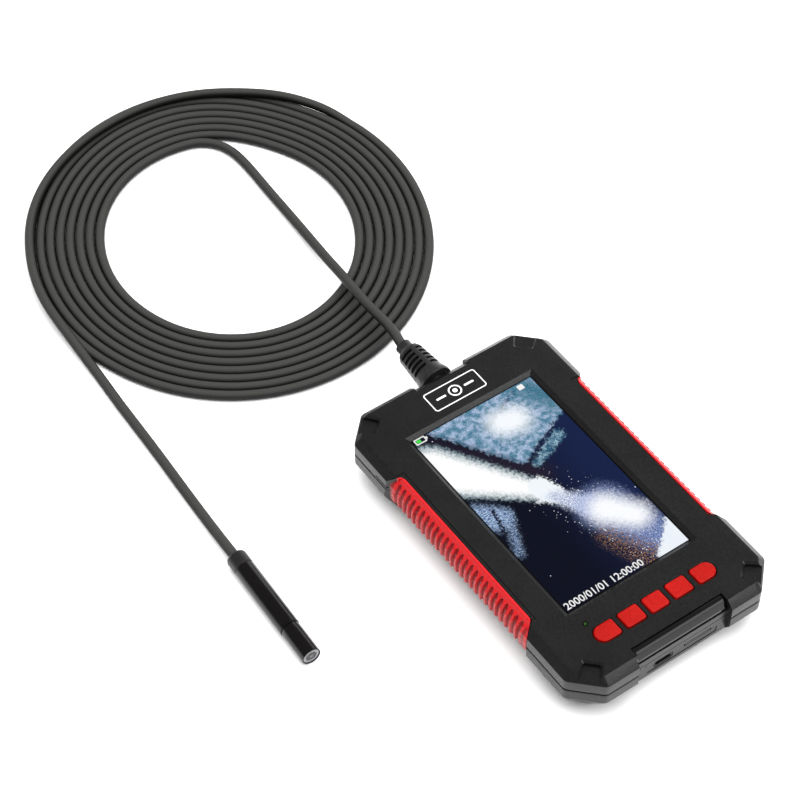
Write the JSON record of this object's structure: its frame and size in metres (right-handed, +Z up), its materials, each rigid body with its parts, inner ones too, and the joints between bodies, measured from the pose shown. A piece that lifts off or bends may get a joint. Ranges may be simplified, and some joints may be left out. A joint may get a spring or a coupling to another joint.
{
  "type": "inspection camera",
  "caption": "Handheld inspection monitor with push buttons and side grips, and a small camera head on a long cord laid in a flat coil.",
  "frame": {"origin": "middle of the monitor's own box on the floor that its back rests on, leaving out the cord and the camera head", "axes": "+X to the right of the screen, +Y towards the cord, +Z up out of the screen"},
  "size_m": [0.1774, 0.3609, 0.0245],
  "materials": {
    "case_black": "matte, fine texture",
    "case_grey": "matte, fine texture",
    "grip_red": "satin",
    "bar_gloss": "gloss",
    "badge": "satin, printed white outline",
    "screen_glass": "clear gloss",
    "panel": "lit display",
    "board_green": "solder mask",
    "battery": "satin pouch",
    "switch_black": "matte",
    "button_red": "satin",
    "led_green": "clear",
    "steel": "bright",
    "card_black": "satin",
    "screw_steel": "dark zinc",
    "relief_rubber": "matte",
    "cord_jacket": "satin",
    "head_black": "gloss",
    "ring_grey": "satin",
    "lens": "polished"
  },
  "bodies": {
    "monitor": {"front_shell": "case_black", "back_shell": "case_grey", "left_grip": "grip_red", "right_grip": "grip_red", "port_bar": "bar_gloss", "badge_plate": "badge", "screen_window": "screen_glass", "lcd_panel": "panel", "main_board": "board_green", "key_board": "board_green", "battery": "battery", "key_switch_1": "switch_black", "key_switch_2": "switch_black", "key_switch_3": "switch_black", "key_switch_4": "switch_black", "key_switch_5": "switch_black", "status_led": "led_green", "usb_port": "steel", "card_socket": "steel", "case_screw_1": "screw_steel", "case_screw_2": "screw_steel", "case_screw_3": "screw_steel", "case_screw_4": "screw_steel", "strain_relief": "relief_rubber", "cord_lead": "cord_jacket", "cord_coil": "cord_jacket", "cord_tail": "cord_jacket", "head_sleeve": "head_black", "lens_barrel": "head_black", "led_ring": "ring_grey", "lens_window": "lens", "sensor_board": "board_green"},
    "key_1": {"button_1": "button_red"},
    "key_2": {"button_2": "button_red"},
    "key_3": {"button_3": "button_red"},
    "key_4": {"button_4": "button_red"},
    "key_5": {"button_5": "button_red"},
    "card": {"memory_card": "card_black"}
  },
  "joints": [
    {"name": "key_1_press", "type": "slide", "parent": "monitor", "child": "key_1", "axis": [0, 0, -1], "range_m": [0, 0.0006], "stiffness_N_per_m": 1000},
    {"name": "key_2_press", "type": "slide", "parent": "monitor", "child": "key_2", "axis": [0, 0, -1], "range_m": [0, 0.0006], "stiffness_N_per_m": 1000},
    {"name": "key_3_press", "type": "slide", "parent": "monitor", "child": "key_3", "axis": [0, 0, -1], "range_m": [0, 0.0006], "stiffness_N_per_m": 1000},
    {"name": "key_4_press", "type": "slide", "parent": "monitor", "child": "key_4", "axis": [0, 0, -1], "range_m": [0, 0.0006], "stiffness_N_per_m": 1000},
    {"name": "key_5_press", "type": "slide", "parent": "monitor", "child": "key_5", "axis": [0, 0, -1], "range_m": [0, 0.0006], "stiffness_N_per_m": 1000},
    {"name": "card_slide", "type": "slide", "parent": "monitor", "child": "card", "axis": [0, -1, 0], "range_m": [0, 0.012]}
  ]
}
